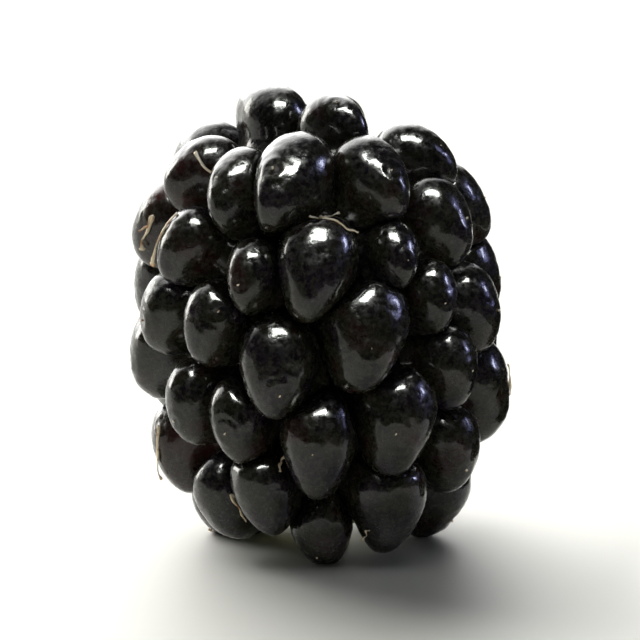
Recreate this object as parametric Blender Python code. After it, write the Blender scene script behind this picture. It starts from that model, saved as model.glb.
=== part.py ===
"""A bramble berry, picked ripe and without its calyx, standing on its stem end.

Drupelets sit on an egg-shaped seat surface round a pale receptacle. Each one is a bead pressed flat where
it meets its neighbours, the receptacle and the table. Metres, +Z up, origin on the table under the berry's
middle, and -Y is the side that faces the viewer.
"""

import math

import bmesh
import bpy
import numpy as np
from mathutils import Matrix, Vector

MM = 0.001

# Driving dimensions of the whole berry
BERRY_WIDTH = 20.0 * MM
BERRY_HEIGHT = 24.1 * MM
WIDEST_HEIGHT = 0.475 * BERRY_HEIGHT  # where the berry is broadest
BARREL = 2.4  # exponent of its outline: 2 is an ellipse, more is squarer at the shoulders
BERRY_LEAN = math.radians(4.5)  # the tip leans this much towards -X

# A drupelet of size 1: half its breadth round the berry, half its length from stem end to tip,
# and how far it reaches outwards and inwards from its middle
HALF_BREADTH = 1.85 * MM
HALF_LENGTH = 2.85 * MM
DOME = 2.35 * MM
ROOT = 5.0 * MM
BLUNT = 2.3  # exponent of its profile: 2 is an ellipse, more has a flatter dome and tighter shoulders
EGG = 0.2  # it is this share broader towards the tip of the berry than towards the stem end
NOD = math.radians(9)  # its dome turns this much from square to the berry's surface towards the tip
SWELL = 0.6  # how much of a larger drupelet's extra size also goes into its dome
FLARE = 5  # deep below its dome it widens until it meets its neighbours
DRUPELET_COUNT = 56
USUAL_LEAN = 8  # degrees that the other drupelets lean, give or take as much

# How drupelets press on each other
PRESS = 14  # sharpness of a pressed edge: higher leaves flatter faces
GAP = 0.2 * MM  # left between neighbours
FEET = 5  # drupelets that reach the table
TABLE_PRESS = 0.1 * MM  # the table flattens at least this much of each

# The receptacle, the pale core that carries the drupelets and shows at the stem end
CORE_RADIUS = 3.2 * MM
CORE_BASE = 1.3 * MM  # its scar lies a little above the undersides of the lowest drupelets
CORE_TOP = 20.4 * MM
CORE_BLUNTNESS = 2.2
SCAR_DIMPLE = 0.5 * MM
SCAR_DIMPLE_WIDTH = 0.6  # share of the scar's radius

# Mesh resolution
SEGMENTS = 12
RINGS = 8
CORE_SEGMENTS = 24
CORE_RINGS = 12

# The drupelets that face the viewer: degrees round the berry from -Y towards +X, height of the middle as a
# share of the berry's height, size, and degrees that the tip end leans towards +X. The others fill the rest.
FACING = (
    (-140, 0.905, 0.86, 0),
    (48, 0.91, 0.76, 5),
    (160, 0.84, 0.82, 0),
    (-72, 0.825, 0.82, 8),
    (-34, 0.83, 0.86, 0),
    (-9, 0.83, 1.08, 21),
    (38, 0.825, 0.93, 0),
    (82, 0.8, 0.85, 0),
    (-97, 0.715, 0.95, 5),
    (-57, 0.71, 0.82, 12),
    (-21, 0.66, 0.74, 5),
    (2, 0.675, 1.1, 14),
    (34, 0.67, 0.7, 10),
    (66, 0.73, 0.92, 5),
    (98, 0.71, 1.0, 0),
    (-67, 0.555, 0.85, 5),
    (-39, 0.57, 0.86, 8),
    (18, 0.545, 1.2, 17),
    (47, 0.58, 0.75, 10),
    (75, 0.5, 0.9, 5),
    (-15, 0.47, 1.08, 4),
    (-86, 0.45, 0.97, 5),
    (54, 0.41, 0.86, 10),
    (-53, 0.37, 0.85, -5),
    (-30, 0.345, 0.86, -7),
    (28, 0.315, 1.12, 16),
    (-3, 0.285, 1.06, 6),
    (-75, 0.24, 0.95, -7),
    (58, 0.22, 0.9, 5),
    (-26, 0.18, 0.95, -7),
    (25, 0.145, 1.1, 4),
    (-52, 0.155, 0.9, -7),
    (-4, 0.09, 0.9, 0),
    (120, 0.76, 0.9, 5),
)

SEAT_RADIUS = BERRY_WIDTH / 2 - DOME
SEAT_TOP = BERRY_HEIGHT - 0.8 * DOME - WIDEST_HEIGHT  # no drupelet sits right on the axis
LOWEST_SEAT = 0.09 * BERRY_HEIGHT
HIGHEST_SEAT = 0.8 * BERRY_HEIGHT  # for those that do not face the viewer
SEAT_BOTTOM = 1.19 * (WIDEST_HEIGHT - LOWEST_SEAT)  # the seat surface is cut off before it closes below
OTHERS_SPREAD = 0.45  # the others start within this share of a turn, either way from the back
OTHERS_VARIETY = 0.07  # their sizes differ from 1 by up to this
SPACING = 6.0 * MM  # closer than this, two drupelets push each other away
HOLD = 0.8  # how firmly a drupelet that faces the viewer keeps its place
STEP = 0.12
SETTLING_ROUNDS = 200
GOLDEN_ANGLE = math.pi * (3 - math.sqrt(5))


def clear_scene():
    for obj in list(bpy.data.objects):
        bpy.data.objects.remove(obj)


def make_material(name, colour, roughness):
    material = bpy.data.materials.new(name)
    material.use_nodes = True
    shader = material.node_tree.nodes["Principled BSDF"]
    shader.inputs["Base Color"].default_value = (*colour, 1)
    shader.inputs["Roughness"].default_value = roughness
    return material


def seat_radius(height):
    """How far from the axis the middles of the drupelets lie at a height."""
    rise = height - WIDEST_HEIGHT
    share = min(1, abs(rise) / (SEAT_TOP if rise > 0 else SEAT_BOTTOM))
    return SEAT_RADIUS * (1 - share**BARREL) ** (1 / BARREL)


def seat_at(azimuth, height):
    radius = seat_radius(height)
    return Vector((radius * math.sin(azimuth), -radius * math.cos(azimuth), height))


def onto_seat(point, highest):
    """The point of the seat surface seen from the berry's middle through this one, kept off both ends."""
    middle = Vector((0, 0, WIDEST_HEIGHT))
    ray = point - middle
    half_height = SEAT_TOP if ray.z > 0 else SEAT_BOTTOM
    reach = (math.hypot(ray.x, ray.y) / SEAT_RADIUS) ** BARREL + (abs(ray.z) / half_height) ** BARREL
    seated = middle + ray / reach ** (1 / BARREL)
    height = min(max(seated.z, LOWEST_SEAT), highest)
    return seated if height == seated.z else seat_at(math.atan2(seated.x, -seated.y), height)


def outward(seat):
    """The direction square to the seat surface."""
    rise = seat.z - WIDEST_HEIGHT
    half_height = SEAT_TOP if rise > 0 else SEAT_BOTTOM
    radius = max(math.hypot(seat.x, seat.y), 1e-6)
    sideways = (radius / SEAT_RADIUS) ** (BARREL - 1) / SEAT_RADIUS
    upwards = math.copysign((abs(rise) / half_height) ** (BARREL - 1) / half_height, rise)
    return Vector((seat.x / radius * sideways, seat.y / radius * sideways, upwards)).normalized()


def place_drupelets():
    """Middle, size and lean of each drupelet: those that face the viewer stay near home, others spread."""
    seats = [seat_at(math.radians(azimuth), share * BERRY_HEIGHT) for azimuth, share, _, _ in FACING]
    sizes = [size for _, _, size, _ in FACING]
    leans = [math.radians(lean) for _, _, _, lean in FACING]
    homes = list(seats)
    spare = DRUPELET_COUNT - len(FACING)
    for k in range(spare):
        height = LOWEST_SEAT + (k + 0.5) / spare * (HIGHEST_SEAT - LOWEST_SEAT)
        azimuth = math.pi + math.remainder(k * GOLDEN_ANGLE, 2 * math.pi) * OTHERS_SPREAD
        seats.append(seat_at(azimuth, height))
        sizes.append(1 + OTHERS_VARIETY * math.sin(5 * k))
        leans.append(math.radians(USUAL_LEAN) * (1 + math.sin(2.4 * k)))
    for _ in range(SETTLING_ROUNDS):
        for i, seat in enumerate(seats):
            push = Vector()
            for j, other in enumerate(seats):
                apart = seat - other
                room = SPACING * (sizes[i] + sizes[j]) / 2
                if i != j and apart.length < room:
                    push += apart.normalized() * (room - apart.length)
            if i < len(homes):
                push = HOLD * (homes[i] - seat) + (1 - HOLD) * push
            seats[i] = onto_seat(seat + STEP * push, BERRY_HEIGHT if i < len(homes) else HIGHEST_SEAT)
    return seats, sizes, leans


def core_outline():
    """Radius and height of the receptacle, from the rim of its scar to its top."""
    points = []
    for k in range(CORE_RINGS + 1):
        turn = k / CORE_RINGS * math.pi / 2
        radius = CORE_RADIUS * math.cos(turn) ** (2 / CORE_BLUNTNESS)
        height = CORE_BASE + (CORE_TOP - CORE_BASE) * math.sin(turn) ** (2 / CORE_BLUNTNESS)
        points.append((radius, height))
    return points


def nearest_on_core(seat):
    """The point of the receptacle nearest to a drupelet's middle."""
    radius = math.hypot(seat.x, seat.y)
    outline = core_outline()
    candidates = []
    for (r0, z0), (r1, z1) in zip(outline, outline[1:]):
        along = ((radius - r0) * (r1 - r0) + (seat.z - z0) * (z1 - z0)) / ((r1 - r0) ** 2 + (z1 - z0) ** 2)
        along = min(1, max(0, along))
        r, z = r0 + along * (r1 - r0), z0 + along * (z1 - z0)
        candidates.append((math.hypot(radius - r, seat.z - z), r, z))
    _, r, z = min(candidates)
    azimuth = math.atan2(seat.x, -seat.y)
    return Vector((r * math.sin(azimuth), -r * math.cos(azimuth), z))


def drupelet_frame(seat, lean):
    """Columns: round the berry, towards the tip, outwards."""
    square = outward(seat)
    across = Vector((0, 0, 1)).cross(square).normalized()
    out = Matrix.Rotation(-NOD, 3, across) @ square
    turn = Matrix.Rotation(-lean, 3, out)
    return Matrix((turn @ across, turn @ out.cross(across), out)).transposed()


def pressing_planes(index, seats, sizes, frame):
    """Direction, in the drupelet's frame, and distance of each plane that it is pressed against."""
    here = seats[index]
    planes = []
    for other, size in zip(seats, sizes):
        apart = other - here
        if 0 < apart.length < 2.2 * HALF_LENGTH + 2 * HALF_BREADTH:
            share = sizes[index] / (sizes[index] + size)
            planes.append((apart.normalized(), apart.length * share - GAP / 2))
    to_core = nearest_on_core(here) - here
    planes.append((to_core.normalized(), to_core.length - GAP))
    return [(np.array(frame.transposed() @ direction), distance) for direction, distance in planes]


def pressed_reach(direction, size, planes):
    """How far a drupelet reaches from its middle: an egg blended with the planes that press on it."""
    x, y, z = direction
    depth = DOME * (1 + SWELL * (size - 1)) if z > 0 else ROOT
    spread = size + FLARE * min(0, z) ** 4
    breadth = HALF_BREADTH * spread * (1 + EGG * y)
    flat = math.hypot(x / breadth, y / (HALF_LENGTH * spread))
    total = (flat**BLUNT + abs(z / depth) ** BLUNT) ** (PRESS / BLUNT)
    for towards, distance in planes:
        total += max(0, float(np.dot(direction, towards)) / distance) ** PRESS
    return total ** (-1 / PRESS)


def drupelet_mesh(size, planes):
    mesh = bmesh.new()
    bmesh.ops.create_uvsphere(mesh, u_segments=SEGMENTS, v_segments=RINGS, radius=1)
    for vert in mesh.verts:
        vert.co *= pressed_reach(np.array(vert.co.normalized()), size, planes)
    return mesh


def receptacle_mesh():
    """A blunt cone of pith, turned round the berry's axis, with a shallow dimple in its scar."""
    dimple = [(0, CORE_BASE + SCAR_DIMPLE), (SCAR_DIMPLE_WIDTH * CORE_RADIUS, CORE_BASE)]
    outline = dimple + core_outline()
    mesh = bmesh.new()
    chain = [mesh.verts.new((radius, 0, height)) for radius, height in outline]
    edges = [mesh.edges.new(pair) for pair in zip(chain, chain[1:])]
    bmesh.ops.spin(
        mesh,
        geom=chain + edges,
        cent=(0, 0, 0),
        axis=(0, 0, 1),
        angle=2 * math.pi,
        steps=CORE_SEGMENTS,
        use_merge=True,
    )
    bmesh.ops.remove_doubles(mesh, verts=mesh.verts, dist=0.001 * MM)
    return mesh


def standing_place(drupelets):
    """Moves the berry over the origin and down until the table flattens its lowest drupelets."""
    points = [[matrix @ vert.co for vert in mesh.verts] for mesh, matrix in drupelets]
    undersides = sorted(min(point.z for point in cloud) for cloud in points)
    spans = [[point[axis] for cloud in points for point in cloud] for axis in (0, 1)]
    middle = [(min(span) + max(span)) / 2 for span in spans]
    return Matrix.Translation((-middle[0], -middle[1], -undersides[FEET - 1] - TABLE_PRESS))


def flatten_on_table(mesh, matrix):
    """Cuts off what would lie under the table and closes the cut with a flat face."""
    to_local = matrix.inverted()
    up = (to_local.to_3x3() @ Vector((0, 0, 1))).normalized()
    cut = bmesh.ops.bisect_plane(
        mesh,
        geom=mesh.verts[:] + mesh.edges[:] + mesh.faces[:],
        plane_co=to_local @ Vector((0, 0, 0)),
        plane_no=up,
        clear_inner=True,
    )
    rim = [part for part in cut["geom_cut"] if isinstance(part, bmesh.types.BMEdge)]
    if rim:
        bmesh.ops.contextual_create(mesh, geom=rim)


def add_object(name, mesh, material, matrix):
    bmesh.ops.recalc_face_normals(mesh, faces=mesh.faces)
    data = bpy.data.meshes.new(name)
    mesh.to_mesh(data)
    mesh.free()
    data.materials.append(material)
    data.shade_smooth()
    data.set_sharp_from_angle(angle=math.radians(50))
    obj = bpy.data.objects.new(name, data)
    obj.matrix_world = matrix
    bpy.context.scene.collection.objects.link(obj)


def main():
    clear_scene()
    skin = make_material("drupelet_skin", (0.012, 0.008, 0.014), 0.2)
    pith = make_material("receptacle_pith", (0.62, 0.60, 0.38), 0.75)
    seats, sizes, leans = place_drupelets()
    berry = Matrix.Rotation(-BERRY_LEAN, 4, "Y")

    drupelets = []
    for index, (seat, size) in enumerate(zip(seats, sizes)):
        frame = drupelet_frame(seat, leans[index])
        mesh = drupelet_mesh(size, pressing_planes(index, seats, sizes, frame))
        drupelets.append((mesh, berry @ Matrix.Translation(seat) @ frame.to_4x4()))

    place = standing_place(drupelets)
    for number, (mesh, matrix) in enumerate(drupelets, start=1):
        flatten_on_table(mesh, place @ matrix)
        add_object(f"drupelet_{number:02d}", mesh, skin, place @ matrix)
    add_object("receptacle", receptacle_mesh(), pith, place @ berry)


main()
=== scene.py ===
# Bramble berry: drupelets in glossy skin, the pith that carries them and the dried styles on them,
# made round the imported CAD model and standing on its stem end.
import math
import random

import bmesh
import bpy
import numpy as np
from mathutils import Matrix, Vector, noise


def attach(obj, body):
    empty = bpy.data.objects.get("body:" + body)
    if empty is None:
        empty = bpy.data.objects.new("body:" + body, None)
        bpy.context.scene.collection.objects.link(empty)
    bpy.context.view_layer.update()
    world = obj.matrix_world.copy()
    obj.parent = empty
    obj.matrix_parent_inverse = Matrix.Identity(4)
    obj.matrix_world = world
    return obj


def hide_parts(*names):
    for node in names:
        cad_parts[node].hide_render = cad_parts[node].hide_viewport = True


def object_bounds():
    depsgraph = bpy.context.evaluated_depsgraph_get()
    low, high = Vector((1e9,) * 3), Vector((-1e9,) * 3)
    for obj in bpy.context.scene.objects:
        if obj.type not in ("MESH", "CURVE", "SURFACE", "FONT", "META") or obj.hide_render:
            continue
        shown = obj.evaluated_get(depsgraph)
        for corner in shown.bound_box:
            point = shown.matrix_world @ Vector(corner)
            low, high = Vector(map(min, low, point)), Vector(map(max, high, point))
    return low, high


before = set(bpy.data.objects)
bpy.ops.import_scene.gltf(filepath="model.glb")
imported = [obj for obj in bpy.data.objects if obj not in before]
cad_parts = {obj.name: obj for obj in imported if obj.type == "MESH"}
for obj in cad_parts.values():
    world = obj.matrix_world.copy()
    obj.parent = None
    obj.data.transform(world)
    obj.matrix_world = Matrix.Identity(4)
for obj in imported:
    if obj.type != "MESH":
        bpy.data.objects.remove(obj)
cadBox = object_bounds()

mm = 0.001
low, high = (Vector(corner) for corner in cadBox)
middle = Vector((0, 0, (low.z + high.z) / 2))


def hexColour(text):
    channels = [int(text[i:i + 2], 16) / 255 for i in (1, 3, 5)]
    return (*[c / 12.92 if c <= 0.04045 else ((c + 0.055) / 1.055) ** 2.4 for c in channels], 1)


def addNode(tree, kind, inputs=None, links=None, **settings):
    node = tree.nodes.new(kind)
    for name, value in settings.items():
        setattr(node, name, value)
    for name, value in (inputs or {}).items():
        node.inputs[name].default_value = value
    for name, socket in (links or {}).items():
        tree.links.new(socket, node.inputs[name])
    return node


def setStops(ramp, positions, colours):
    elements = ramp.color_ramp.elements
    while len(elements) > 1:
        elements.remove(elements[-1])
    elements[0].position = positions[0]
    for position in positions[1:]:
        elements.new(position)
    for element, colour in zip(elements, colours):
        element.color = hexColour(colour)


def newMaterial(name):
    material = bpy.data.materials.new(name)
    material.use_nodes = True
    tree = material.node_tree
    tree.nodes.clear()
    shader = addNode(tree, "ShaderNodeBsdfPrincipled")
    addNode(tree, "ShaderNodeOutputMaterial", links={"Surface": shader.outputs["BSDF"]})
    place = addNode(tree, "ShaderNodeTexCoord").outputs["Object"]
    return material, tree, shader, place


def meshPiece(name, points, faces, material, smooth=True):
    mesh = bpy.data.meshes.new(name)
    mesh.from_pydata([tuple(p) for p in points], [], [tuple(f) for f in faces])
    mesh.materials.append(material)
    if smooth:
        mesh.shade_smooth()
    piece = bpy.data.objects.new(name, mesh)
    bpy.context.scene.collection.objects.link(piece)
    return piece


def ringFaces(rings, count):
    # the quads between rings of count points each
    faces = []
    for k in range(rings - 1):
        for s in range(count):
            t = (s + 1) % count
            faces.append((k * count + s, k * count + t, (k + 1) * count + t, (k + 1) * count + s))
    return faces


skin = dict(
    tints=("#180f1c", "#0b0909", "#1f1f12", "#240f10"),  # plum, black, olive, wine
    tintStops=(0.34, 0.45, 0.56, 0.68),
    tintSize=2.2 * mm,
    fleck="#33322a",
    fleckRange=(0.45, 0.68),
    fleckSize=0.22 * mm,  # drawn coarser than the real cells, which are too fine to see
    fleckRagged=0.65,
    waxRange=(0.35, 0.68),
    waxSize=0.35 * mm,
    roughness=(0.14, 0.38),  # where the wax is thin, and where it is thick
    poreSize=0.16 * mm,
    poreDepth=0.003 * mm,
    puckerSize=0.35 * mm,
    puckerDepth=0.035 * mm,
    ior=1.3,
    cuticle=0.65,
    cuticleRoughness=0.07,
    cuticleIor=1.37,
    bloom=0.6,
    bloomColour="#c9c9b8",
    bloomRoughness=0.1,
)
reddishSkin = dict(skin, tints=("#301314", "#190c0b", "#281a10", "#451710"))  # ripened late
lateDrupelets = (4, 9, 28)


def makeDrupeletSkin(name, look):
    # Bramble fruit skin: a taut cuticle over dark juice, grown smooth, with fine pores and puckers.
    # To the eye: nearly black with crisp highlights, mottled olive and plum where it reflects softly,
    # and a thin pale bloom that only shows along its edges.
    material, tree, shader, place = newMaterial(name)
    spots = {}
    for part in ("tint", "fleck", "wax", "pore", "pucker"):
        detail = 3 if part in ("fleck", "wax") else 2
        scale = 1 / look[part + "Size"]
        spots[part] = addNode(tree, "ShaderNodeTexNoise", {"Scale": scale, "Detail": detail},
                              {"Vector": place})
    spots["fleck"].inputs["Roughness"].default_value = look["fleckRagged"]
    tint = addNode(tree, "ShaderNodeValToRGB", links={"Fac": spots["tint"].outputs["Fac"]})
    setStops(tint, look["tintStops"], look["tints"])
    pale = addNode(tree, "ShaderNodeMapRange",
                   {"From Min": look["fleckRange"][0], "From Max": look["fleckRange"][1]},
                   {"Value": spots["fleck"].outputs["Fac"]})
    flecked = addNode(tree, "ShaderNodeMix", {"B": hexColour(look["fleck"])},
                      {"Factor": pale.outputs["Result"], "A": tint.outputs["Color"]}, data_type="RGBA")
    dull = addNode(tree, "ShaderNodeMapRange",
                   {"From Min": look["waxRange"][0], "From Max": look["waxRange"][1],
                    "To Min": look["roughness"][0], "To Max": look["roughness"][1]},
                   {"Value": spots["wax"].outputs["Fac"]})
    fine = addNode(tree, "ShaderNodeBump", {"Strength": 1, "Distance": look["poreDepth"]},
                   {"Height": spots["pore"].outputs["Fac"]})
    coarse = addNode(tree, "ShaderNodeBump", {"Strength": 1, "Distance": look["puckerDepth"]},
                     {"Height": spots["pucker"].outputs["Fac"], "Normal": fine.outputs["Normal"]})
    tree.links.new(flecked.outputs["Result"], shader.inputs["Base Color"])
    tree.links.new(dull.outputs["Result"], shader.inputs["Roughness"])
    tree.links.new(coarse.outputs["Normal"], shader.inputs["Normal"])
    tree.links.new(fine.outputs["Normal"], shader.inputs["Coat Normal"])
    shader.inputs["IOR"].default_value = look["ior"]
    shader.inputs["Coat Weight"].default_value = look["cuticle"]
    shader.inputs["Coat Roughness"].default_value = look["cuticleRoughness"]
    shader.inputs["Coat IOR"].default_value = look["cuticleIor"]
    shader.inputs["Sheen Weight"].default_value = look["bloom"]
    shader.inputs["Sheen Roughness"].default_value = look["bloomRoughness"]
    shader.inputs["Sheen Tint"].default_value = hexColour(look["bloomColour"])
    return material


dry = dict(
    tints=("#6b3520", "#c08a55", "#f4e2c0"),
    tintStops=(0.3, 0.38, 0.48),
    bandSize=0.7 * mm,
    fibreSize=0.06 * mm,
    fibreDepth=0.01 * mm,
    fibreStrength=0.6,
    roughness=0.55,
)


def makeDriedStyle():
    # Dried plant thread: withered style tissue, shrunk and curled as it dried.
    # To the eye: thin, papery, reddish brown with straw-coloured stretches, hardly shiny.
    material, tree, shader, place = newMaterial("driedStyle")
    band = addNode(tree, "ShaderNodeTexNoise", {"Scale": 1 / dry["bandSize"], "Detail": 2},
                   {"Vector": place})
    tint = addNode(tree, "ShaderNodeValToRGB", links={"Fac": band.outputs["Fac"]})
    setStops(tint, dry["tintStops"], dry["tints"])
    fibre = addNode(tree, "ShaderNodeTexNoise", {"Scale": 1 / dry["fibreSize"]}, {"Vector": place})
    bump = addNode(tree, "ShaderNodeBump", {"Strength": dry["fibreStrength"], "Distance": dry["fibreDepth"]},
                   {"Height": fibre.outputs["Fac"]})
    tree.links.new(tint.outputs["Color"], shader.inputs["Base Color"])
    tree.links.new(bump.outputs["Normal"], shader.inputs["Normal"])
    shader.inputs["Roughness"].default_value = dry["roughness"]
    return material


pith = dict(
    tints=("#a9ad62", "#d9d8a4"),
    tintStops=(0.4, 0.62),
    tintSize=0.9 * mm,
    paintedShade="#2a0b1c",
    paintedShadeRange=(1.2 * mm, 2.6 * mm),  # heights over which the pith darkens to painted shade, dark as the juice, deep between the drupelets
    fibreSize=0.25 * mm,
    fibreDepth=0.08 * mm,
    roughness=0.7,
)


def makeReceptaclePith():
    # Receptacle pith: soft, fibrous plant tissue, torn where the calyx came off.
    # To the eye: dull, pale yellow-green at the scar; further in, painted shade in a dark plum, where it
    # lies deep between the drupelets.
    material, tree, shader, place = newMaterial("receptaclePith")
    patch = addNode(tree, "ShaderNodeTexNoise", {"Scale": 1 / pith["tintSize"], "Detail": 3},
                    {"Vector": place})
    tint = addNode(tree, "ShaderNodeValToRGB", links={"Fac": patch.outputs["Fac"]})
    setStops(tint, pith["tintStops"], pith["tints"])
    height = addNode(tree, "ShaderNodeSeparateXYZ", links={"Vector": place})
    # painted shade: above the scar the pith's colour goes to dark plum, standing in for the shade between
    # the drupelets
    paintedShadeShare = addNode(tree, "ShaderNodeMapRange",
                      {"From Min": pith["paintedShadeRange"][0], "From Max": pith["paintedShadeRange"][1]},
                      {"Value": height.outputs["Z"]})
    paintedShadePith = addNode(tree, "ShaderNodeMix", {"B": hexColour(pith["paintedShade"])},
                    {"Factor": paintedShadeShare.outputs["Result"], "A": tint.outputs["Color"]}, data_type="RGBA")
    fibre = addNode(tree, "ShaderNodeTexNoise", {"Scale": 1 / pith["fibreSize"], "Detail": 4},
                    {"Vector": place})
    bump = addNode(tree, "ShaderNodeBump", {"Strength": 1, "Distance": pith["fibreDepth"]},
                   {"Height": fibre.outputs["Fac"]})
    tree.links.new(paintedShadePith.outputs["Result"], shader.inputs["Base Color"])
    tree.links.new(bump.outputs["Normal"], shader.inputs["Normal"])
    shader.inputs["Roughness"].default_value = pith["roughness"]
    return material


laminate = dict(colour="#f2f1ea", roughness=0.6)


def makeLaminate():
    # White laminate, pressed smooth. To the eye: even, matt and bright.
    material, tree, shader, place = newMaterial("whiteLaminate")
    shader.inputs["Base Color"].default_value = hexColour(laminate["colour"])
    shader.inputs["Roughness"].default_value = laminate["roughness"]
    return material


felt = dict(colour="#0a0a0a", roughness=0.95, ior=1.2)


def makeFelt():
    # Black wool felt, pressed from fibres. To the eye: it gives back no light.
    material, tree, shader, place = newMaterial("blackFelt")
    shader.inputs["Base Color"].default_value = hexColour(felt["colour"])
    shader.inputs["Roughness"].default_value = felt["roughness"]
    shader.inputs["IOR"].default_value = felt["ior"]
    return material


ripeFinish = makeDrupeletSkin("ripeDrupeletSkin", skin)
lateFinish = makeDrupeletSkin("reddishDrupeletSkin", reddishSkin)
driedStyle = makeDriedStyle()
receptaclePith = makeReceptaclePith()
print("materials made")

bead = dict(
    dome=2.35 * mm,  # seat to the top of the dome
    root=5 * mm,  # seat to the inner end
    halfBreadth=1.85 * mm,
    halfLength=2.85 * mm,
    blunt=2.3,  # 2 is an ellipse, more has a flatter dome and tighter shoulders
    egg=0.2,
    swell=0.6,  # how much of a larger drupelet's extra size goes into its dome
    flare=5,
    press=18,  # how sharply a bead flattens against its neighbours
    gap=0.03 * mm,
    coreBite=0.1 * mm,  # how far the receptacle's face is kept from the bead's root
    grid=30,
    denser=0.5,  # draws the grid towards the top of the dome
)
cadBall = dict(rings=8, segments=12, leastTilt=math.radians(-8))
berryTurn = Matrix.Rotation(-math.radians(4.5), 3, "Y")  # the whole berry leans this much
berryAxis = berryTurn @ Vector((0, 0, 1))


def beadAxes(out, tilt):
    # rows: round the berry, towards its tip, outwards
    across = berryAxis.cross(out).normalized()
    turn = Matrix.Rotation(-tilt, 3, out)
    return np.array([turn @ across, turn @ out.cross(across), out])


def readBead(node):
    # A CAD drupelet is a ball of rings and segments, blown up round its seat. The ring round its outer pole
    # tells everything: each plane through the pole and two opposite points of the ring holds its axis.
    ball = bmesh.new()
    ball.from_mesh(node.data)
    bmesh.ops.remove_doubles(ball, verts=ball.verts, dist=0.0001 * mm)
    poles = [vert for vert in ball.verts if len(vert.link_edges) == cadBall["segments"]]
    pole = max(poles, key=lambda vert: (vert.co - middle).length)
    top = pole.co.copy()
    ring = np.array([edge.other_vert(pole).co - top for edge in pole.link_edges])
    ball.free()

    x, y, z = beadAxes(Vector(-ring.mean(0)).normalized(), 0) @ ring.T
    ring = ring[np.argsort(np.arctan2(y, x))]
    half = cadBall["segments"] // 2
    out = Vector(np.linalg.svd(np.cross(ring[:half], ring[half:]))[2][-1])
    if out.dot(top - middle) < 0:
        out.negate()
    x, y, z = beadAxes(out, 0) @ ring.T
    toSeat = np.hypot(x, y) / math.tan(math.pi / cadBall["rings"]) - z
    sink = float(np.median(toSeat))
    tilt = (-math.atan2(y[0], x[0]) - cadBall["leastTilt"]) % (math.pi / half) + cadBall["leastTilt"]
    size = 1 + (sink / bead["dome"] - 1) / bead["swell"]
    return dict(seat=top - out * sink, out=out, tilt=tilt, size=size)


drupeletNodes = sorted(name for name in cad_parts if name.startswith("drupelet_"))
beads = [readBead(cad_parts[name]) for name in drupeletNodes]
print("read", len(beads), "drupelets")

core = dict(
    radius=3.2 * mm,
    height=19.1 * mm,
    blunt=2.2,
    dimple=0.5 * mm,
    dimpleReach=0.625,  # as a share of the radius
    scarRings=12,
    sideRings=60,
    segments=96,
    rough=0.06 * mm,
    grainSizes=((0.7 * mm, 1), (0.25 * mm, 0.6)),  # each with its share
    ribs=14,
    ribShare=0.5,
    scarDepth=1 * mm,  # above this the surface is half as rough
)
corePoints = np.array([v.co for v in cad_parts["receptacle"].data.vertices])


def coreOutline():
    # radius and height: a dimpled scar, then a blunt cone
    outline = []
    for k in range(core["scarRings"] + 1):
        share = k / core["scarRings"]
        lift = core["dimple"] * max(0, 1 - (share / core["dimpleReach"]) ** 2)
        outline.append((core["radius"] * share, lift))
    for k in range(1, core["sideRings"] + 1):
        turn = k / core["sideRings"] * math.pi / 2
        climb = core["height"] * math.sin(turn) ** (2 / core["blunt"])
        outline.append((core["radius"] * max(0, math.cos(turn)) ** (2 / core["blunt"]), climb))
    return outline


def makeReceptacle():
    # turned at a fine pitch, then roughened along the berry
    axis = np.array(berryAxis)
    foot = corePoints.mean(0)
    foot += axis * ((corePoints @ axis).min() - foot @ axis)
    across = np.cross(axis, (0, 1, 0))
    across /= np.linalg.norm(across)
    forward = np.cross(axis, across)
    points = []
    outline = coreOutline()
    for radius, height in outline:
        for s in range(core["segments"]):
            angle = 2 * math.pi * s / core["segments"]
            outwards = across * math.cos(angle) + forward * math.sin(angle)
            p = foot + axis * height + outwards * max(radius, 0.001 * mm)
            grain = sum(share * noise.noise(Vector(p) / size) for size, share in core["grainSizes"])
            rib = core["ribShare"] * math.sin(angle * core["ribs"]) * radius / core["radius"]
            fade = 1 if height < core["scarDepth"] else 0.5
            points.append(p + axis * core["rough"] * (grain + rib) * fade)
    piece = meshPiece("berryReceptacle", points, ringFaces(len(outline), core["segments"]), receptaclePith)
    ends = bmesh.new()
    ends.from_mesh(piece.data)
    bmesh.ops.remove_doubles(ends, verts=ends.verts, dist=0.004 * mm)  # closes both ends
    bmesh.ops.recalc_face_normals(ends, faces=ends.faces)
    ends.to_mesh(piece.data)
    ends.free()
    piece.data.shade_smooth()
    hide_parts("receptacle")
    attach(piece, "root")


makeReceptacle()
print("receptacle made")


def roundGrid(count):
    # a cube's grid blown up to a unit ball, so that its squares are all about as large
    ball = bmesh.new()
    bmesh.ops.create_cube(ball, size=2)
    bmesh.ops.subdivide_edges(ball, edges=ball.edges[:], cuts=count - 1, use_grid_fill=True)
    for vert in ball.verts:
        vert.co = Vector([math.tan(c * math.pi / 4) for c in vert.co]).normalized()
        vert.co = (vert.co + Vector((0, 0, bead["denser"]))).normalized()
    ball.verts.index_update()
    directions = np.array([v.co for v in ball.verts])
    faces = [[v.index for v in face.verts] for face in ball.faces]
    ball.free()
    return directions, faces


def pressingPlanes(index, axes):
    # where each neighbour, and the receptacle, stops the bead: a direction from the seat and a distance
    here = beads[index]
    reach = 2.2 * bead["halfLength"] + 2 * bead["halfBreadth"]  # beads further off than this never touch
    planes = []
    for other in beads:
        apart = other["seat"] - here["seat"]
        if 0 < apart.length < reach:
            share = here["size"] / (here["size"] + other["size"])
            planes.append((axes @ np.array(apart.normalized()), apart.length * share - bead["gap"] / 2))
    inwards = corePoints - np.array(here["seat"])
    nearest = inwards[np.argmin(np.linalg.norm(inwards, axis=1))]
    distance = float(np.linalg.norm(nearest))
    planes.append((axes @ (nearest / distance), distance - bead["coreBite"]))
    return planes


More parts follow.
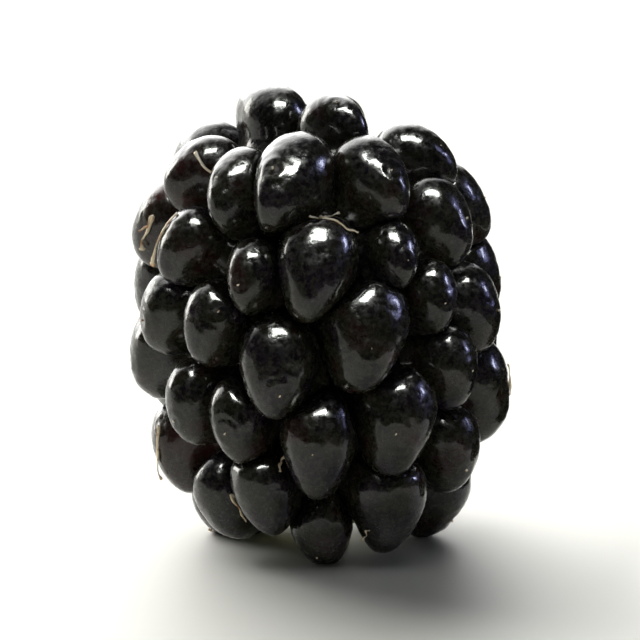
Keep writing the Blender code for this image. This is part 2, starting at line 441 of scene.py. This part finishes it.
def pressedReach(index, directions):
    # how far the bead reaches from its seat: an egg blended with the planes that press on it
    here = beads[index]
    x, y, z = directions.T
    depth = np.where(z > 0, bead["dome"] * (1 + bead["swell"] * (here["size"] - 1)), bead["root"])
    spread = here["size"] + bead["flare"] * np.minimum(0, z) ** 4
    breadth = bead["halfBreadth"] * spread * (1 + bead["egg"] * y)
    flat = np.hypot(x / breadth, y / (bead["halfLength"] * spread))
    total = (flat ** bead["blunt"] + np.abs(z / depth) ** bead["blunt"]) ** (bead["press"] / bead["blunt"])
    for towards, distance in here["planes"]:
        total += np.maximum(0, directions @ towards / distance) ** bead["press"]
    return total ** (-1 / bead["press"])


surface = dict(  # heights are shares of the bead's radius
    swelling=0.02,
    swellingSize=2 * mm,
    dent=0.03,
    dentSize=1.1 * mm,
    crease=0.004,
    creaseSize=0.4 * mm,
    strength=(0.5, 1),  # how clearly the pit and its rings show
    pitDepth=0.022,
    pitWidth=0.14,  # in radians across the bead, as the next two are
    ringSpacing=0.26,
    ringReach=0.5,
    ringHeight=0.008,
    bareFrom=-0.2,  # the skin swells and dents only where it is open: none of it below this height,
    bareOver=0.5,  # all of it this much higher, as shares of the way out to the top of the dome
    offTable=0.01 * mm,
    seed=7,
)
pits = dict(across=(-0.25, 0.1), along=(-0.42, -0.15))  # the usual place, a little below the dome's middle
stubPits = {17: (0.5, 0.4), 26: (-0.35, -0.2), 27: (-0.1, 0.05), 21: (0.25, -0.5), 18: (-0.05, -0.3)}

# Threads that have stayed on, by drupelet: the place of its pit (round the berry and towards the tip, as
# shares of the radius), then each thread's heading in degrees, from "round the berry" towards the tip,
# its length in mm and its breadth against the usual one
threads = {
    4: ((0.4, 0.3), [(14, 2.8, 1.9)]),
    12: ((0, 0.82), [(70, 1.4, 1.5), (10, 1.6, 1.3), (130, 0.8, 1.4)]),
    10: ((-0.2, 0.6), [(-95, 3.4, 1.8)]),
    9: ((0.7, 0.3), [(-85, 2.2, 2.2), (-120, 1.2, 1.4)]),
    32: ((0.75, 0.35), [(-95, 2, 1.6), (-60, 1.2, 1.2)]),
    28: ((0.3, 0.6), [(-95, 2.8, 1.6)]),
    30: ((0.66, 0.6), [(50, 0.9, 1.5)]),
    31: ((-0.6, -0.35), [(-120, 0.6, 1)]),
    36: ((0, -0.2), [(30, 1.6, 1)]),
    38: ((-0.1, -0.3), [(60, 1.5, 1.2)]),
    39: ((0.1, -0.2), [(120, 1.8, 1)]),
    42: ((0, -0.3), [(-40, 1.5, 1)]),
    45: ((-0.2, -0.2), [(200, 1.8, 1.3)]),
    48: ((0.1, -0.3), [(70, 1.3, 1)]),
    51: ((0.2, -0.1), [(-90, 1.8, 1)]),
    53: ((0, -0.2), [(10, 1.6, 1.2)]),
    56: ((-0.1, -0.3), [(150, 1.4, 1)]),
}
dice = random.Random(surface["seed"])
ballDirections, ballFaces = roundGrid(bead["grid"])


def pitDirection(number):
    usual = (dice.uniform(*pits["across"]), dice.uniform(*pits["along"]))
    x, y = threads[number][0] if number in threads else stubPits.get(number, usual)
    return np.array((x, y, math.sqrt(1 - x * x - y * y)))


def relief(points, size):
    return np.array([noise.noise(Vector(p) / size) for p in points])


def makeDrupelet(index):
    here = beads[index]
    here["axes"] = beadAxes(here["out"], here["tilt"])
    here["planes"] = pressingPlanes(index, here["axes"])
    here["pit"] = pitDirection(index + 1)
    reach = pressedReach(index, ballDirections)
    strength = dice.uniform(*surface["strength"])

    places = ballDirections * reach[:, None] + 30 * mm * index  # no two beads share a stretch of the noise
    change = (surface["swelling"] * relief(places, surface["swellingSize"])
              + surface["dent"] * np.minimum(0, relief(places + 1, surface["dentSize"]))
              + surface["crease"] * relief(places + 2, surface["creaseSize"]))
    bare = np.clip((ballDirections[:, 2] - surface["bareFrom"]) / surface["bareOver"], 0, 1)
    away = np.arccos(np.clip(ballDirections @ here["pit"], -1, 1))
    sunk = surface["pitDepth"] * np.exp(-(away / surface["pitWidth"]) ** 2)
    wave = np.cos(away * 2 * math.pi / surface["ringSpacing"])
    rings = surface["ringHeight"] * wave * np.exp(-(away / surface["ringReach"]) ** 2)
    reach = reach * (1 + bare * change + strength * (rings - sunk))

    points = ballDirections * reach[:, None] @ here["axes"] + np.array(here["seat"])
    points[:, 2] = np.maximum(points[:, 2], low.z + surface["offTable"])  # flat where it stands
    finish = lateFinish if index + 1 in lateDrupelets else ripeFinish
    piece = meshPiece("ripeDrupelet%02d" % (index + 1), points, ballFaces, finish)
    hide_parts(drupeletNodes[index])
    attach(piece, "root")


for index in range(len(beads)):
    makeDrupelet(index)
print("drupelets made")

style = dict(
    thickness=0.12 * mm,
    flatness=0.55,  # a dried thread is a narrow ribbon
    twist=5,  # in radians over its length, at most
    sides=8,
    steps=30,
    lift=0.05 * mm,  # clear of the skin
    curlUp=0.3 * mm,
    waver=(0.03, 0.08),
    waverTurn=5,  # in radians over its length, as the next three turns are
    ripple=0.03,
    rippleTurn=12,
    crinkle=0.02 * mm,
    crinkleTurn=23,
    taper=0.4,
    uneven=0.25,
    unevenTurn=11,
    stigma=(1.9, 1.5),  # the shrunken end is this much broader over the last two points
    stubLength=(0.04 * mm, 0.13 * mm),
    stubBend=0.5,
    stubThickness=0.11 * mm,
    stubProfile=(1.5, 1.4, 1.2, 1.2, 1.1, 0.5),
    stubRoot=0.06 * mm,  # how deep in the skin it starts
)


def tube(path, widths, twist=0):
    # a ribbon-like thread along a path, closed at both ends
    count = style["sides"]
    points = []
    side = None
    for k, p in enumerate(path):
        run = (path[min(k + 1, len(path) - 1)] - path[max(k - 1, 0)]).normalized()
        side = run.orthogonal() if side is None else side - run * side.dot(run)
        side.normalize()
        broad = Matrix.Rotation(twist * k / len(path), 3, run) @ side
        thin = run.cross(broad) * style["flatness"]
        for s in range(count):
            angle = 2 * math.pi * s / count
            points.append(p + (broad * math.cos(angle) + thin * math.sin(angle)) * widths[k])
    faces = ringFaces(len(path), count)
    faces.append(tuple(reversed(range(count))))
    faces.append(tuple(range((len(path) - 1) * count, len(path) * count)))
    return points, faces


def onSkin(index, direction, lift):
    here = beads[index]
    reach = float(pressedReach(index, direction[None])[0]) + lift
    return here["seat"] + Vector(direction @ here["axes"]) * reach


def makeStub(index):
    # what a style leaves when it has broken off
    pit = beads[index]["pit"]
    start = onSkin(index, pit, -style["stubRoot"])
    length = dice.uniform(*style["stubLength"])
    bend = Vector([dice.uniform(-style["stubBend"], style["stubBend"]) for _ in range(3)])
    out = Vector(pit @ beads[index]["axes"])
    last = len(style["stubProfile"]) - 1
    path = [start + (out + bend * k / last) * length * k / last for k in range(last + 1)]
    return tube(path, [style["stubThickness"] / 2 * share for share in style["stubProfile"]])


def makeThread(index, heading, length, breadth):
    # lies along the skin from its pit, crinkled, and lifts its tip a little
    pit = beads[index]["pit"]
    angle = math.radians(heading)
    along = np.array((math.cos(angle), math.sin(angle), 0))
    along -= pit * (along @ pit)
    along /= np.linalg.norm(along)
    sideways = np.cross(pit, along)
    turn = length * mm / bead["dome"]
    waver = dice.uniform(*style["waver"])
    phase = dice.uniform(0, 6)
    path = []
    widths = []
    for k in range(style["steps"] + 1):
        share = k / style["steps"]
        sway = waver * (math.sin(phase + style["waverTurn"] * share) - math.sin(phase))
        sway += style["ripple"] * math.sin(2 * phase + style["rippleTurn"] * share) * share
        direction = pit * math.cos(turn * share) + along * math.sin(turn * share) + sideways * sway
        direction /= np.linalg.norm(direction)
        crinkle = style["crinkle"] * math.sin(phase + style["crinkleTurn"] * share) * share
        lift = style["lift"] * min(1, 4 * share) + crinkle + style["curlUp"] * share**4
        path.append(onSkin(index, direction, lift))
        path[-1].z = max(path[-1].z, low.z + style["thickness"])
        uneven = style["uneven"] * math.sin(3 * phase + style["unevenTurn"] * share)
        widths.append(style["thickness"] / 2 * breadth * (1 - style["taper"] * share + uneven))
    widths[-2] *= style["stigma"][0]
    widths[-1] *= style["stigma"][1]
    return tube(path, widths, twist=dice.uniform(-style["twist"], style["twist"]))


def joinThreads(name, parts):
    points = []
    faces = []
    for morePoints, moreFaces in parts:
        offset = len(points)
        points += morePoints
        faces += [tuple(i + offset for i in face) for face in moreFaces]
    piece = meshPiece(name, points, faces, driedStyle)
    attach(piece, "root")


joinThreads("styleStubs", [makeStub(i) for i in range(len(beads)) if i + 1 not in threads])
joinThreads("driedStyles", [makeThread(number - 1, *thread)
                            for number, (pit, kept) in threads.items() for thread in kept])
print("dried styles made")

tableTop = dict(size=3.0, below=0.005 * mm)  # just under the berry, so that their faces don't fight


def makeTable():
    half = tableTop["size"] / 2
    z = low.z - tableTop["below"]
    table = meshPiece("table", [(-half, -half, z), (half, -half, z), (half, half, z), (-half, half, z)],
                      [(0, 1, 2, 3)], makeLaminate(), smooth=False)


flag = dict(
    front=-60 * mm,  # the felt on the table starts here, towards the viewer
    side=40 * mm,  # and here, to the right
    lift=0.1 * mm,
    stand=16.5 * mm,  # how far to the right the standing one is
    standHeight=12 * mm,
    standSpan=(-4 * mm, 18 * mm),
)


def makeGlossShadeFlags():
    # Painted shade in the gloss: black felt, lying on the table further off and as a strip that stands at
    # the right, like a studio's flags.
    # Only the gloss on the skin shows them, so the skin reflects shade there while the table stays lit and
    # the camera can go all the way round.
    far = tableTop["size"] / 2
    front, side, z = flag["front"], flag["side"], low.z + flag["lift"]
    stand, top = flag["stand"], low.z + flag["standHeight"]
    near, back = flag["standSpan"]
    corners = [(side, front, z), (side, far, z), (far, far, z), (far, -far, z), (-far, -far, z),
               (-far, front, z), (stand, near, low.z), (stand, back, low.z), (stand, back, top),
               (stand, near, top)]
    glossShadeFlags = meshPiece("glossShadeFlags", corners, [(0, 1, 2, 3), (0, 3, 4, 5), (6, 7, 8, 9)], makeFelt(), smooth=False)
    # painted shade in the skin's reflections: the felt is hidden from the camera, from diffuse light and
    # from shadows
    glossShadeFlags.visible_camera = False
    glossShadeFlags.visible_diffuse = False
    glossShadeFlags.visible_shadow = False


lamps = dict(  # direction from the berry, distance, width and height in metres, radiance, colour
    key=((0.02, -0.37, 0.93), 0.5, 0.36, 0.17, 60, "#fbfff8"),
    window=((0.93, 0.10, 0.36), 0.6, 0.08, 0.12, 26, "#dfe4ff"),
    windowGlow=((0.93, 0.10, 0.36), 0.62, 0.22, 0.3, 4.0, "#a3a6ec"),
    rim=((-0.82, 0.5, 0.16), 0.6, 0.16, 0.3, 9, "#fffdf4"),
)


def addLamp(name, direction, distance, width, height, radiance, colour):
    data = bpy.data.lights.new(name, "AREA")
    data.shape = "RECTANGLE"
    data.size, data.size_y = width, height
    data.energy = radiance * math.pi * width * height
    data.color = hexColour(colour)[:3]
    lamp = bpy.data.objects.new(name, data)
    away = Vector(direction).normalized()
    lamp.location = middle + away * distance
    lamp.rotation_euler = away.to_track_quat("Z", "Y").to_euler()
    lamp.visible_diffuse = False  # only for the gloss on the skin: the white walls light the rest
    bpy.context.scene.collection.objects.link(lamp)


room = dict(
    wallDirection=(-0.38, 0.8, 0.46),
    wallEdge=(0.68, 0.97),  # from the dim room to the full brightness of the walls
    wall=6.6,
    wallTint=(1, 1, 0.985),
    dim=0.025,
    dimTint=(0.95, 1, 1.05),
)


def makeWorld():
    # bright white walls behind and to the left, a dim room elsewhere
    world = bpy.data.worlds.new("studio")
    world.use_nodes = True
    bpy.context.scene.world = world
    tree = world.node_tree
    tree.nodes.clear()
    direction = addNode(tree, "ShaderNodeTexCoord").outputs["Generated"]
    towards = addNode(tree, "ShaderNodeVectorMath", {1: room["wallDirection"]}, {0: direction},
                      operation="DOT_PRODUCT")
    share = addNode(tree, "ShaderNodeMapRange",
                    {"From Min": room["wallEdge"][0], "From Max": room["wallEdge"][1]},
                    {"Value": towards.outputs["Value"]}, interpolation_type="SMOOTHSTEP")
    dimColour = (*[room["dim"] * c for c in room["dimTint"]], 1)
    wallColour = (*[room["wall"] * c for c in room["wallTint"]], 1)
    walls = addNode(tree, "ShaderNodeMix", {"A": dimColour, "B": wallColour},
                    {"Factor": share.outputs["Result"]}, data_type="RGBA")
    seen = addNode(tree, "ShaderNodeLightPath").outputs["Is Camera Ray"]
    backdrop = addNode(tree, "ShaderNodeMix", {"B": (1, 1, 1, 1)},
                       {"Factor": seen, "A": walls.outputs["Result"]}, data_type="RGBA")
    light = addNode(tree, "ShaderNodeBackground", links={"Color": backdrop.outputs["Result"]})
    addNode(tree, "ShaderNodeOutputWorld", links={"Surface": light.outputs["Background"]})


view = dict(elevation=15, distance=0.42, lens=450, sensor=36, clip=(0.01, 20), aimLow=0.4 * mm)


def makeCamera():
    data = bpy.data.cameras.new("camera")
    data.lens, data.sensor_width = view["lens"], view["sensor"]
    data.clip_start, data.clip_end = view["clip"]
    camera = bpy.data.objects.new("camera", data)
    rise = math.radians(view["elevation"])
    target = middle - Vector((0, 0, view["aimLow"]))
    camera.location = target + Vector((0, -math.cos(rise), math.sin(rise))) * view["distance"]
    camera.rotation_euler = (math.radians(90) - rise, 0, 0)
    bpy.context.scene.collection.objects.link(camera)
    bpy.context.scene.camera = camera


makeTable()
makeGlossShadeFlags()
for name, values in lamps.items():
    addLamp(name, *values)
makeWorld()
makeCamera()
bpy.context.scene.view_settings.view_transform = "Standard"
print("stage set")
